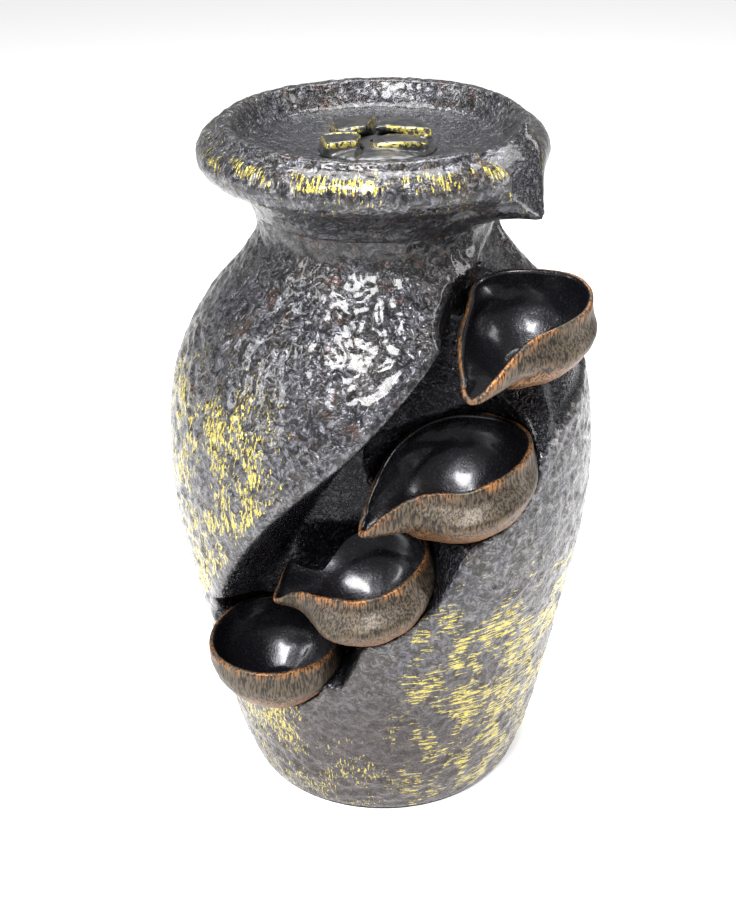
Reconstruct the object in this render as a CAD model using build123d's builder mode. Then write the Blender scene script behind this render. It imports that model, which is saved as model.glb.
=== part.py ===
from build123d import *

import os
from math import cos, pi, radians, sin

# Tabletop cascade fountain: a cast jar with a diagonal niche that holds four pouring cups.
# Millimetres, +Z up, -Y is the front. The origin is the middle of the underside.
# The pump lifts water up the riser tube to the bubbler in the top dish. It runs over the dish's
# spout, down the four cups, and back into the jar through the drain of the lowest cup.

# ---- driving dimensions ----
wall = 5.0  # thickness of the jar's casting
glue_gap = 0.15
pad_thickness = 1.5
pad_radius = 61.0
base_plate_thickness = 4.0
base_plate_radius = 58.5
floor_top = pad_thickness + base_plate_thickness
seal_thickness = 1.0
seal_width = 4.5
ledge_bottom = floor_top + seal_thickness
ledge_thickness = 3.0
ledge_radius = 53.0
seam_height = 268.0  # where the top dish sits on the neck
neck_bore = 44.0
spigot_length = 10.0

# Radius and height of the jar's outside, from the foot to the seam under the dish.
jar_outline = [
    (62.5, pad_thickness), (68.2, 18), (75.3, 48), (83.5, 90), (91.0, 132), (92.1, 170),
    (85.8, 204), (72.8, 228), (57.5, 246), (50.0, 260), (51.3, seam_height),
]

# The niche is a curved trough round the front. Each section is an upright ellipse in a plane through
# the jar's axis: bearing from the front towards +X, middle height, half height, radius of the niche's
# back, and radius of the ellipse's middle.
niche_edge_round = 3.0
niche_sections = [
    (90, 214, 9, 90, 92), (68, 220, 22, 72, 90), (50, 219, 43, 54, 80), (33, 201, 42, 47, 86),
    (16, 180, 46, 46, 90), (0, 158, 46, 47, 92), (-14, 136, 46, 47, 92), (-28, 116, 44, 50, 92),
    (-42, 99, 33, 56, 92), (-55, 89, 18, 72, 92), (-68, 80, 8, 88, 92),
]

rim_radius = 64.6  # middle of the dish's rolled rim
rim_roll = 8.8
rim_height = 291.4
dish_floor = 290.0
dish_floor_thickness = 4.0
spout_bearing = 51.5
cap_radius = 24.5
cap_top = 299.0
cap_gap = 0.4

door_width, door_height, door_middle = 62.0, 72.0, 116.0
door_corner = 10.0
door_thickness, gasket_thickness = 2.2, 0.8
door_ledge = 4.0
door_gap = 0.4

grommet_height = 66.0
grommet_face = 76.0  # outside face of the wall at the grommet, from the jar's axis
grommet_web = 3.0
cord_bore = 3.0

axle_height = 33.0  # the pump's axle lies along Y
pump_front = 4.0
pump_split = 28.0  # the motor block ends and the impeller chamber begins
pump_rear = 41.0
motor_width, motor_height = 44.0, 43.0
chamber_size = 38.0
chamber_radius = 13.0
chamber_end = 37.0
axle_radius = 1.0
running_gap = 0.05
outlet_y = 32.5
spigot_radius = 4.5
tube_bore, tube_radius = 4.55, 6.5
tube_foot, tube_top = 55.0, 261.5


def bearing(angle):
    """Level unit vector at that bearing from the front, turning towards +X."""
    return Vector(sin(radians(angle)), -cos(radians(angle)), 0)


def radial_plane(angle):
    """Plane through the jar's axis: local x is the radius at that bearing, local y is height."""
    out = bearing(angle)
    return Plane(origin=(0, 0, 0), x_dir=out, z_dir=out.cross(Vector(0, 0, 1)))


def across_plane(angle, radius):
    """Upright plane across a bearing at that radius: local x is level, local y is height."""
    out = bearing(angle)
    return Plane(origin=out * radius, x_dir=Vector(0, 0, 1).cross(out), z_dir=out)


def facing_rear(y, z=axle_height, x=0.0):
    """Upright plane that faces +Y, for pieces whose axis lies along Y."""
    return Plane(origin=(x, y, z), x_dir=(-1, 0, 0), z_dir=(0, 1, 0))


def ring(outer, inner, low, high):
    """Upright tube between two heights."""
    with BuildPart() as tube:
        with BuildSketch(Plane.XY.offset(low)):
            Circle(outer)
            Circle(inner, mode=Mode.SUBTRACT)
        extrude(amount=high - low)
    return tube.part


def ring_along_y(outer, inner, front, rear, z=axle_height):
    """Tube lying along Y between two distances."""
    with BuildPart() as tube:
        with BuildSketch(facing_rear(front, z)):
            Circle(outer)
            if inner > 0:
                Circle(inner, mode=Mode.SUBTRACT)
        extrude(amount=rear - front)
    return tube.part


def jar_solid(inset=0.0, foot=pad_thickness, top=seam_height):
    """The jar's outside as one solid, moved in by inset and cut level at foot and top."""
    points = [(radius - inset, height) for radius, height in jar_outline]
    with BuildPart() as solid:
        with BuildSketch(Plane.XZ):
            with BuildLine():
                side = Spline(points)
                Polyline(side @ 1, (0, points[-1][1]), (0, points[0][1]), side @ 0)
            make_face()
        revolve(axis=Axis.Z)
        split(bisect_by=Plane.XY.offset(foot), keep=Keep.TOP)
        split(bisect_by=Plane.XY.offset(top), keep=Keep.BOTTOM)
    return solid.part


def niche_solid(grow=0.0):
    """The niche's space, or that space with a wall of thickness grow round it."""
    with BuildPart() as solid:
        for angle, middle, half_height, back, mouth in niche_sections:
            with BuildSketch(radial_plane(angle)):
                with Locations((mouth, middle)):
                    Ellipse(mouth - back + grow, half_height + grow)
        loft()
    return solid.part


def door_prism(margin):
    """Block along Y through the rear wall, as wide as the door plus a margin all round."""
    with BuildPart() as block:
        with BuildSketch(facing_rear(50, door_middle)):
            RectangleRounded(door_width + 2 * margin, door_height + 2 * margin, door_corner + margin)
        extrude(amount=60)
    return block.part


class Cup:
    """A bowl with a pulled lip. Its plane sits at the middle of the rim, and local x is the lip's way."""

    wall = 3.0
    rim_rounds = (1.2, 1.1, 1.0, 0.9, 0.8, 0.7)  # the largest that the rim takes is used

    def __init__(self, name, middle, radius, depth, heading, slope, reach, drop):
        normal = Vector(slope[0], slope[1], 1).normalized()
        ahead = bearing(heading)
        level = ahead - normal * ahead.dot(normal)
        self.name = name
        self.plane = Plane(origin=middle, x_dir=level.normalized(), z_dir=normal)
        self.side = Plane(origin=middle, x_dir=self.plane.x_dir, z_dir=self.plane.y_dir * -1)
        self.radius, self.depth, self.reach, self.drop = radius, depth, reach, drop

    def outline(self, radius, pull):
        """Points round a level slice: a circle drawn out to a lip by pull."""
        turns = [2 * pi * step / 28 for step in range(28)]
        spans = [radius + pull * max(0.0, cos(turn)) ** 5 for turn in turns]
        return [(span * cos(turn), span * sin(turn)) for span, turn in zip(spans, turns)]

    def bowl(self, grow=0.0, height=6.0):
        """Solid bowl, grown by grow and carried straight up to height above the rim's plane."""
        radius = self.radius + grow
        depth = self.depth + grow
        pull = self.reach - self.radius
        with BuildPart() as solid:
            for share in (0.0, 0.3, 0.58, 0.8, 0.94, 1.0):
                slice_radius = radius * (1 - 0.62 * share**2.6) if share < 1 else radius * 0.26
                slice_pull = pull * max(0.0, 1 - 1.6 * share)
                with BuildSketch(self.plane.offset(-depth * share)):
                    with BuildLine():
                        Spline(self.outline(slice_radius, slice_pull), periodic=True)
                    make_face()
            loft()
            with BuildSketch(self.plane):
                with BuildLine():
                    Spline(self.outline(radius, pull), periodic=True)
                make_face()
            extrude(amount=height)
        return solid.part

    def above_rim(self):
        """Everything above the rim's line, which dips towards the tip of the lip."""
        far = self.reach + 12
        with BuildPart() as solid:
            with BuildSketch(self.side):
                with BuildLine():
                    line = Spline(
                        (-far, 0.4), (-self.radius * 0.5, 0.2), (self.radius * 0.45, -0.6),
                        (self.radius * 0.95, -self.drop * 0.55), (self.reach, -self.drop),
                        (far, -self.drop * 1.15),
                    )
                    Polyline(line @ 1, (far, 30), (-far, 30), line @ 0)
                make_face()
            extrude(amount=far, both=True)
        return solid.part

    def backing(self, grow):
        """Round mass behind the bowl that keeps a wall between it and the reservoir."""
        with BuildPart() as solid:
            with Locations(self.plane.origin):
                Sphere(max(self.radius, self.depth) + grow)
        return solid.part

    def build(self):
        """The finished cup: hollow, cut to its rim line, with its rim rounded."""
        with BuildPart() as cup:
            add(self.bowl())
            add(self.bowl(-self.wall, 8.0), mode=Mode.SUBTRACT)
            add(self.above_rim(), mode=Mode.SUBTRACT)
            rim_edges = cup.edges(Select.LAST)
        for size in self.rim_rounds:
            try:
                return cup.part.fillet(size, rim_edges)
            except ValueError:
                print(f"{self.name}: its rim does not take a round of {size}")
        return cup.part


cups = [
    Cup("cup_1_top", (57.4, -50.5, 241.0), 28.5, 30.0, -36.0, (-0.10, -0.20), 48.0, 14.0),
    Cup("cup_2_upper", (30.2, -67.2, 182.0), 32.0, 32.0, -68.0, (-0.21, -0.15), 47.0, 12.0),
    Cup("cup_3_lower", (-9.2, -73.4, 135.0), 30.0, 30.0, -94.0, (-0.21, -0.15), 39.0, 11.0),
    Cup("cup_4_bottom", (-45.7, -58.2, 94.0), 29.3, 31.0, -38.0, (0.0, -0.10), 29.3, 0.0),
]
drain_bearing, drain_height, drain_radius = -38.0, 71.0, 3.4

os.makedirs("parts", exist_ok=True)
finished = []


def save(part, name):
    """Labels a finished piece and writes it as its own STEP."""
    part.label = name
    export_step(part, f"parts/{name}.step")
    finished.append(part)
    print(f"{name:18s} {len(part.solids())} solid(s) {part.volume / 1000:9.2f} cm3 valid {part.is_valid}")


# ---- jar ----
with BuildPart() as drain:
    with BuildSketch(across_plane(drain_bearing, 34)):
        with Locations((0, drain_height)):
            Circle(drain_radius)
    extrude(amount=36)

with BuildPart() as niche_cut_jar:
    add(jar_solid())
    add(niche_solid(), mode=Mode.SUBTRACT)
    niche_edges = niche_cut_jar.edges(Select.NEW)
    fillet(niche_edges, niche_edge_round)

with BuildPart() as reservoir:
    add(jar_solid(wall, ledge_bottom + ledge_thickness, seam_height - spigot_length - 2))
    add(niche_solid(wall), mode=Mode.SUBTRACT)
    for cup in cups:
        add(cup.backing(wall), mode=Mode.SUBTRACT)
    # A boss keeps the wall thick round the cord's hole.
    add(ring_along_y(13, 0, grommet_face - grommet_web, 90, grommet_height), mode=Mode.SUBTRACT)
reservoir_space = reservoir.part.solids().sort_by(SortBy.VOLUME)[-1]

with BuildPart() as door_rebate:
    add(jar_solid(-4))
    add(jar_solid(door_thickness + gasket_thickness), mode=Mode.SUBTRACT)
    add(door_prism(door_gap), mode=Mode.INTERSECT)

with BuildPart() as jar:
    add(niche_cut_jar.part)
    add(reservoir_space, mode=Mode.SUBTRACT)
    with BuildSketch(Plane.XY):
        Circle(base_plate_radius + glue_gap)
    extrude(amount=ledge_bottom, mode=Mode.SUBTRACT)
    with BuildSketch(Plane.XY):
        Circle(ledge_radius)
    extrude(amount=ledge_bottom + ledge_thickness + 1, mode=Mode.SUBTRACT)
    with BuildSketch(Plane.XY.offset(seam_height)):
        Circle(neck_bore)
    extrude(amount=-spigot_length - 3, mode=Mode.SUBTRACT)
    for cup in cups:
        add(cup.bowl(glue_gap, 10.0), mode=Mode.SUBTRACT)
    add(drain.part, mode=Mode.SUBTRACT)
    add(door_rebate.part, mode=Mode.SUBTRACT)
    add(door_prism(-door_ledge), mode=Mode.SUBTRACT)
    add(ring_along_y(9.6, 0, grommet_face, 95, grommet_height), mode=Mode.SUBTRACT)
    add(ring_along_y(9.6, 0, 60, grommet_face - grommet_web, grommet_height), mode=Mode.SUBTRACT)
    add(ring_along_y(6, 0, 60, 95, grommet_height), mode=Mode.SUBTRACT)
save(jar.part, "jar_shell")

# ---- foot of the jar ----
with BuildPart() as base_pad:
    Cylinder(pad_radius, pad_thickness, align=(Align.CENTER, Align.CENTER, Align.MIN))
save(base_pad.part, "base_pad")

with BuildPart() as base_plate:
    with BuildSketch(Plane.XY.offset(pad_thickness)):
        Circle(base_plate_radius)
    extrude(amount=base_plate_thickness)
    fillet(base_plate.edges().group_by(Axis.Z)[-1], 0.8)
save(base_plate.part, "base_plate")

seal_outer = base_plate_radius - 0.8
save(ring(seal_outer, seal_outer - seal_width, floor_top, ledge_bottom), "base_seal")

# ---- service door ----
with BuildPart() as service_door:
    add(jar_solid())
    add(jar_solid(door_thickness), mode=Mode.SUBTRACT)
    add(door_prism(0), mode=Mode.INTERSECT)
    # A hollow near the top edge gives a finger something to pull.
    with BuildSketch(Plane.XZ.offset(-96)):
        with Locations((0, door_middle + 24)):
            SlotOverall(26, 9)
    extrude(amount=7.4, mode=Mode.SUBTRACT)
save(service_door.part, "service_door")

with BuildPart() as door_gasket:
    add(jar_solid(door_thickness + glue_gap * 2))
    add(jar_solid(door_thickness + gasket_thickness), mode=Mode.SUBTRACT)
    add(door_prism(-0.4), mode=Mode.INTERSECT)
    add(door_prism(-door_ledge), mode=Mode.SUBTRACT)
save(door_gasket.part, "door_gasket")

# ---- cord grommet ----
with BuildPart() as cord_grommet:
    for outer, front, rear in (
        (8.6, grommet_face - grommet_web - 1.8, grommet_face - grommet_web),
        (5.95, grommet_face - grommet_web, grommet_face),
        (9.0, grommet_face, grommet_face + 2.0),
    ):
        with BuildSketch(facing_rear(front, grommet_height)):
            Circle(outer)
        extrude(amount=rear - front)
    fillet(cord_grommet.faces().sort_by(Axis.Y)[-1].edges(), 0.9)
    with BuildSketch(facing_rear(60, grommet_height)):
        Circle(cord_bore)
    extrude(amount=30, mode=Mode.SUBTRACT)
save(cord_grommet.part, "cord_grommet")

# ---- top dish ----
spout_sections = [(54, 21, 288.5, 10.0), (64, 18.5, 288.0, 10.0), (72, 12.0, 283.5, 7.5), (78.5, 4.5, 277.5, 3.2)]
with BuildPart() as spout_mass:
    for radius, half_width, height, half_height in spout_sections:
        with BuildSketch(across_plane(spout_bearing, radius)):
            with Locations((0, height)):
                Ellipse(half_width, half_height)
    loft()

# The channel down the spout is open to the sky: half width, height of its edges, and its depth.
channel_sections = [
    (50, 19, 293, 3.0), (57, 17, 290.5, 6.0), (65, 14, 288.5, 7.5), (72.5, 8, 285, 6.5), (81, 2.4, 278.6, 2.6),
]
with BuildPart() as spout_channel:
    for radius, half_width, height, depth in channel_sections:
        with BuildSketch(across_plane(spout_bearing, radius)):
            with BuildLine():
                ThreePointArc((half_width, height), (0, height - depth), (-half_width, height))
                Polyline((-half_width, height), (-half_width - 3, 306), (half_width + 3, 306), (half_width, height))
            make_face()
    loft()

dish_outline = [(51.4, seam_height), (53.2, 272), (56.8, 277.5), (61.4, 283.2)]
with BuildPart() as dish:
    with BuildSketch(Plane.XZ):
        with BuildLine():
            Polyline((0, dish_floor), (12, dish_floor), (34, dish_floor + 0.6))
            inside = Spline(
                (34, dish_floor + 0.6), (48, dish_floor + 2.0), (56.8, rim_height + 4),
                tangents=((1, 0.03), (0.7, 1)),
            )
            Line(inside @ 1, (rim_radius, rim_height))
            Line((rim_radius, rim_height), dish_outline[-1])
            outside = Spline(dish_outline[::-1])
            Polyline(
                outside @ 1, (neck_bore - glue_gap, seam_height),
                (neck_bore - glue_gap, seam_height - spigot_length),
                (neck_bore - 4, seam_height - spigot_length),
                (neck_bore - 4, seam_height + 4), (neck_bore + 4, dish_floor - 7),
                (neck_bore, dish_floor - dish_floor_thickness), (0, dish_floor - dish_floor_thickness),
                (0, dish_floor),
            )
        make_face()
        with Locations((rim_radius, rim_height)):
            Circle(rim_roll)
    revolve(axis=Axis.Z)
    add(spout_mass.part)
    add(spout_channel.part, mode=Mode.SUBTRACT)
    with BuildSketch(Plane.XY.offset(dish_floor - 10)):
        Circle(6.1)
    extrude(amount=20, mode=Mode.SUBTRACT)
save(dish.part, "top_dish")

# ---- bubbler ----
nozzle_low = dish_floor - dish_floor_thickness
with BuildPart() as bubbler_nozzle:
    with BuildSketch(Plane.XZ):
        with BuildLine():
            Polyline(
                (3, tube_top - 15), (4.0, tube_top - 15), (spigot_radius, tube_top - 12),
                (spigot_radius, tube_top), (6, tube_top), (6, dish_floor + 1), (8.5, dish_floor + 1),
                (8.5, dish_floor + 2.6), (7.8, dish_floor + 3.2), (3, dish_floor + 3.2), close=True,
            )
        make_face()
    revolve(axis=Axis.Z)
save(bubbler_nozzle.part, "bubbler_nozzle")

save(ring(9.0, 6.15, dish_floor, dish_floor + 1), "nozzle_gasket")

with BuildPart() as nozzle_nut:
    with BuildSketch(Plane.XY.offset(nozzle_low)):
        RegularPolygon(11, 6)
        Circle(6.05, mode=Mode.SUBTRACT)
    extrude(amount=-5)
    chamfer(nozzle_nut.faces().sort_by(Axis.Z)[0].outer_wire().edges(), 0.6)
save(nozzle_nut.part, "nozzle_nut")

with BuildPart() as bubbler_cap:
    with BuildSketch(Plane.XZ):
        with BuildLine():
            Polyline((4.5, dish_floor + 5.6), (11, dish_floor + 5.6), (11, dish_floor + cap_gap))
            Line((11, dish_floor + cap_gap), (cap_radius - 2, dish_floor + cap_gap + 0.5))
            crown = Spline(
                (cap_radius - 2, dish_floor + cap_gap + 0.5), (cap_radius, dish_floor + 3),
                (cap_radius - 5.5, cap_top - 0.9), (12, cap_top), (6.5, cap_top - 1.2), (4.5, cap_top - 2.6),
            )
            Line(crown @ 1, (4.5, dish_floor + 5.6))
        make_face()
    revolve(axis=Axis.Z)
    # Four grooves part the mound into petals.
    with Locations(Plane.XY.offset(cap_top)):
        with PolarLocations(15, 4, start_angle=20):
            Box(28, 2.4, 4.4, mode=Mode.SUBTRACT)
save(bubbler_cap.part, "bubbler_cap")

# ---- cups ----
for cup in cups:
    bowl = cup.build()
    if cup is cups[-1]:
        bowl = bowl - drain.part
    save(bowl, cup.name)

# ---- pump ----
foot_holes = [(x, y) for x in (-15, 15) for y in (9.5, 22.5)]
foot_shank = 3.0
motor_low = axle_height - motor_height / 2
well_radius, magnet_radius = 7.0, 6.4

with BuildPart() as pump_housing:
    with BuildSketch(facing_rear(pump_front)):
        RectangleRounded(motor_width, motor_height, 5)
    extrude(amount=pump_split - pump_front)
    fillet(pump_housing.faces().sort_by(Axis.Y)[0].edges(), 2.5)
    add(ring_along_y(well_radius, 0, 9.0, pump_split), mode=Mode.SUBTRACT)
    add(ring_along_y(3.0, 0, 5.8, 10.0), mode=Mode.SUBTRACT)
    add(ring_along_y(3.6, 0, -2.0, 10.5, axle_height + 14), mode=Mode.SUBTRACT)
    with Locations(*[(x, y, motor_low) for x, y in foot_holes]):
        Cylinder(2.5, 2 * foot_shank, mode=Mode.SUBTRACT)
save(pump_housing.part, "pump_housing")

with BuildPart() as chamber_cover:
    with BuildSketch(facing_rear(pump_split)):
        RectangleRounded(chamber_size, chamber_size, 5)
    extrude(amount=pump_rear - pump_split)
    with BuildSketch(Plane.XY.offset(axle_height + chamber_radius - 2)):
        with Locations((0, outlet_y)):
            Circle(spigot_radius)
    extrude(amount=tube_foot + 14 - axle_height - chamber_radius + 2)
    add(ring_along_y(4.0, 0, pump_rear, pump_rear + 2.7))
    add(ring_along_y(chamber_radius, 0, pump_split, chamber_end), mode=Mode.SUBTRACT)
    add(ring_along_y(16.6, 14.4, pump_split, pump_split + 1.8), mode=Mode.SUBTRACT)
    add(ring_along_y(2.5, 0, chamber_end - 1, chamber_end + 3.4), mode=Mode.SUBTRACT)
    add(ring_along_y(1.25, 0, chamber_end + 4.2, pump_rear + 4), mode=Mode.SUBTRACT)
    with Locations(facing_rear(chamber_end)):
        with PolarLocations(9.0, 6):
            Cylinder(2.2, 12, mode=Mode.SUBTRACT)
    with BuildSketch(Plane.XY.offset(axle_height + 6)):
        with Locations((0, outlet_y)):
            Circle(3.2)
    extrude(amount=60, mode=Mode.SUBTRACT)
save(chamber_cover.part, "chamber_cover")

with BuildPart() as chamber_oring:
    with BuildSketch(Plane.YZ):
        with Locations((pump_split + 0.9, axle_height + 15.5)):
            Circle(0.88)
    revolve(axis=Axis((0, 0, axle_height), (0, 1, 0)))
save(chamber_oring.part, "chamber_oring")

save(ring_along_y(axle_radius, 0, 7.2, chamber_end + 2.6), "axle")

with BuildPart() as axle_bushes:
    add(ring_along_y(2.98, 0, 5.8, 9.4))
    add(ring_along_y(axle_radius, 0, 7.2, 9.4), mode=Mode.SUBTRACT)
    add(ring_along_y(2.48, 0, chamber_end, chamber_end + 3.4))
    add(ring_along_y(axle_radius, 0, chamber_end, chamber_end + 2.6), mode=Mode.SUBTRACT)
save(axle_bushes.part, "axle_bushes")

axle_hole = axle_radius + running_gap
save(ring_along_y(magnet_radius, 3.0, 10.0, 27.0), "rotor_magnet")

with BuildPart() as impeller:
    add(ring_along_y(3.0, axle_hole, 9.9, 28.8))
    add(ring_along_y(10.5, axle_hole, 28.8, 30.4))
    add(ring_along_y(3.6, axle_hole, 30.4, 36.4))
    with BuildSketch(facing_rear(30.4)):
        with PolarLocations(7.0, 6):
            Rectangle(7.4, 1.2)
    extrude(amount=5.0)
save(impeller.part, "impeller")

dial_front = pump_rear + 0.35
with BuildPart() as flow_dial:
    add(ring_along_y(13.0, 4.0 + running_gap, dial_front, dial_front + 1.9))
    with Locations(facing_rear(dial_front)):
        with PolarLocations(9.0, 6):
            Cylinder(2.2, 12, mode=Mode.SUBTRACT)
    with BuildSketch(facing_rear(dial_front)):
        with Locations((0, 14.0)):
            RectangleRounded(5, 4, 1)
    extrude(amount=1.9)
save(flow_dial.part, "flow_dial")

with BuildPart() as dial_screw:
    add(ring_along_y(1.24, 0, chamber_end + 4.4, pump_rear + 2.7))
    add(ring_along_y(5.4, 0, pump_rear + 2.7, pump_rear + 4.4))
    fillet(dial_screw.faces().sort_by(Axis.Y)[-1].edges(), 0.7)
    with BuildSketch(facing_rear(pump_rear + 3.5)):
        Rectangle(7, 1)
        Rectangle(1, 7)
    extrude(amount=3, mode=Mode.SUBTRACT)
save(dial_screw.part, "dial_screw")

with BuildPart() as intake_strainer:
    with BuildSketch(facing_rear(pump_rear)):
        RectangleRounded(chamber_size, chamber_size, 5)
    extrude(amount=10)
    fillet(intake_strainer.faces().sort_by(Axis.Y)[-1].edges(), 2)
    with BuildSketch(facing_rear(pump_rear)):
        RectangleRounded(chamber_size - 3.6, chamber_size - 3.6, 3.4)
    extrude(amount=8.2, mode=Mode.SUBTRACT)
    with BuildSketch(facing_rear(pump_rear)):
        with GridLocations(4.4, 0, 7, 1):
            SlotOverall(26, 2.2, rotation=90)
    extrude(amount=12, mode=Mode.SUBTRACT)
save(intake_strainer.part, "intake_strainer")

with BuildPart() as suction_cups:
    for x, y in foot_holes:
        with BuildSketch(Plane(origin=(x, y, 0), x_dir=(1, 0, 0), z_dir=(0, -1, 0))):
            with BuildLine():
                Polyline(
                    (0, motor_low + foot_shank - 0.4), (2.45, motor_low + foot_shank - 0.4),
                    (2.45, motor_low), (3.6, motor_low), (3.6, motor_low - 1.6), (6.2, floor_top + 0.6),
                    (6.4, floor_top), (5.6, floor_top), (2.8, floor_top + 2.0), (0, floor_top + 2.4),
                    close=True,
                )
            make_face()
        revolve(axis=Axis((x, y, 0), (0, 0, 1)))
save(suction_cups.part, "suction_cups")

with BuildPart() as cord_gland:
    for outer, front, rear in ((3.55, pump_front, 9.0), (5.0, pump_front - 1.8, pump_front), (3.8, -6.0, 2.2)):
        add(ring_along_y(outer, 0, front, rear, axle_height + 14))
    add(ring_along_y(2.6, 0, -7.0, 4.0, axle_height + 14), mode=Mode.SUBTRACT)
save(cord_gland.part, "cord_gland")

# ---- riser tube ----
with BuildPart() as riser_tube:
    with BuildLine() as route:
        FilletPolyline(
            (0, outlet_y, tube_foot), (0, outlet_y, 118), (0, 0, 186), (0, 0, tube_top), radius=34
        )
    with BuildSketch(Plane.XY.offset(tube_foot)):
        with Locations((0, outlet_y)):
            Circle(tube_radius)
            Circle(tube_bore, mode=Mode.SUBTRACT)
    sweep(path=route.wires()[0])
save(riser_tube.part, "riser_tube")

with BuildPart() as tube_clamps:
    for y, height in ((outlet_y, tube_foot + 6), (0, tube_top - 8)):
        with BuildSketch(Plane.XY.offset(height - 3)):
            with Locations((0, y)):
                Circle(tube_radius + 1.0)
                Circle(tube_radius + 0.02, mode=Mode.SUBTRACT)
            with Locations((tube_radius + 3.0, y - 1.6), (tube_radius + 3.0, y + 1.6)):
                Rectangle(5.4, 1.0)
        extrude(amount=6)
save(tube_clamps.part, "tube_clamps")
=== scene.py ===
import math
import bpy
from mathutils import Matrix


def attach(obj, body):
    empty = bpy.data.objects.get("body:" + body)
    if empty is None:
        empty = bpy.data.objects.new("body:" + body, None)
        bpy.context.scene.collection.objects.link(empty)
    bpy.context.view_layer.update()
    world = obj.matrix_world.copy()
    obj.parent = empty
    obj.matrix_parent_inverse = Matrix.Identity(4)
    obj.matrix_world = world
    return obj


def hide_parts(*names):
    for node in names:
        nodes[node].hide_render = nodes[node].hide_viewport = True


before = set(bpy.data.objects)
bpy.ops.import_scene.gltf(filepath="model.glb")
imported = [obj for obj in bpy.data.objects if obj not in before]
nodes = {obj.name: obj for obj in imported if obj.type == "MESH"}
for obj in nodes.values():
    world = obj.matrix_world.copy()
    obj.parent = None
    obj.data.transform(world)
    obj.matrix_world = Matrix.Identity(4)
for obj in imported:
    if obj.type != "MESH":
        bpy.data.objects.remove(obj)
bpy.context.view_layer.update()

from types import SimpleNamespace

import bpy
import numpy as np
import openvdb
from mathutils import Matrix, Vector, noise

# Looks of the tabletop cascade fountain. Shapes are worked out in millimetres in the CAD's frame,
# as distance fields or swept skins, and turned into metres when a mesh is made.
MM = 0.001


# ---- camera ----
CAMERA_PITCH, CAMERA_ROLL, CAMERA_PAN = 27.27, 0.7, 0.47562  # degrees
CAMERA_DISTANCE, CAMERA_AIM_HEIGHT = 0.698, 0.1524
CAMERA_LENS, CAMERA_SENSOR = 62.64, 36.0


def place_camera():
    """Straight in front of the fountain and above it, looking down at the jar's middle."""
    pitch = math.radians(CAMERA_PITCH)
    back, rise = CAMERA_DISTANCE * math.cos(pitch), CAMERA_DISTANCE * math.sin(pitch)
    place = Vector((0, -back, CAMERA_AIM_HEIGHT + rise))
    ahead = Vector((0, math.cos(pitch), -math.sin(pitch)))
    up = Vector((0, math.sin(pitch), math.cos(pitch)))
    right = Vector((1, 0, 0))
    pan = Matrix.Rotation(math.radians(CAMERA_PAN), 3, up)
    ahead, right = pan @ ahead, pan @ right
    roll = Matrix.Rotation(math.radians(CAMERA_ROLL), 3, ahead)
    right, up = roll @ right, roll @ up
    lens = bpy.data.cameras.new("camera")
    lens.sensor_width = CAMERA_SENSOR
    lens.lens = CAMERA_LENS
    camera = bpy.data.objects.new("camera", lens)
    bpy.context.collection.objects.link(camera)
    axes = Matrix((right, up, -ahead)).transposed()
    camera.matrix_world = Matrix.Translation(place) @ axes.to_4x4()
    bpy.context.scene.camera = camera


place_camera()


# ---- studio ----
# Each light: name, place, what it faces, width, height and power.
LIGHTS = (
    ("front_softbox", (-0.24, -0.78, 1.1), (0, 0, 0.22), 0.5, 0.4, 27),
    ("top_softbox", (0.0, 0.25, 1.1), (0, 0, 0.25), 0.7, 0.5, 14),
    ("left_strip", (-1.0, -0.35, 0.6), (0, 0, 0.15), 0.2, 0.8, 8),
    ("right_strip", (1.0, -0.15, 0.5), (0, 0, 0.15), 0.2, 0.9, 7),
)
ROOM_LIGHT = 0.33
FLOOR_REACH = 4.0


def light_room():
    """An even white room with four soft lights."""
    scene = bpy.context.scene
    scene.view_settings.view_transform = "Standard"
    world = bpy.data.worlds.new("studio")
    world.use_nodes = True
    background = world.node_tree.nodes["Background"]
    background.inputs[0].default_value = (1.0, 1.0, 1.0, 1)
    background.inputs[1].default_value = ROOM_LIGHT
    scene.world = world
    for name, place, aim, width, height, power in LIGHTS:
        light = bpy.data.lights.new(name, "AREA")
        light.shape = "RECTANGLE"
        light.size, light.size_y = width, height
        light.energy = power
        lamp = bpy.data.objects.new(name, light)
        lamp.location = place
        lamp.rotation_euler = (Vector(aim) - Vector(place)).to_track_quat("-Z", "Y").to_euler()
        bpy.context.collection.objects.link(lamp)


def lay_floor():
    """A pale floor that glows a little, so that it stays white in the shade."""
    corners = [(-1, -1), (1, -1), (1, 1), (-1, 1)]
    mesh = bpy.data.meshes.new("floor")
    mesh.from_pydata([(x * FLOOR_REACH, y * FLOOR_REACH, 0) for x, y in corners], [], [(0, 1, 2, 3)])
    floor = bpy.data.objects.new("floor", mesh)
    bpy.context.collection.objects.link(floor)
    material = bpy.data.materials.new("floor")
    material.use_nodes = True
    shader = material.node_tree.nodes["Principled BSDF"]
    shader.inputs["Base Color"].default_value = (0.93, 0.925, 0.925, 1)
    shader.inputs["Roughness"].default_value = 0.6
    shader.inputs["Emission Color"].default_value = (1.0, 1.0, 1.0, 1)
    shader.inputs["Emission Strength"].default_value = 0.38
    mesh.materials.append(material)


light_room()
lay_floor()


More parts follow.
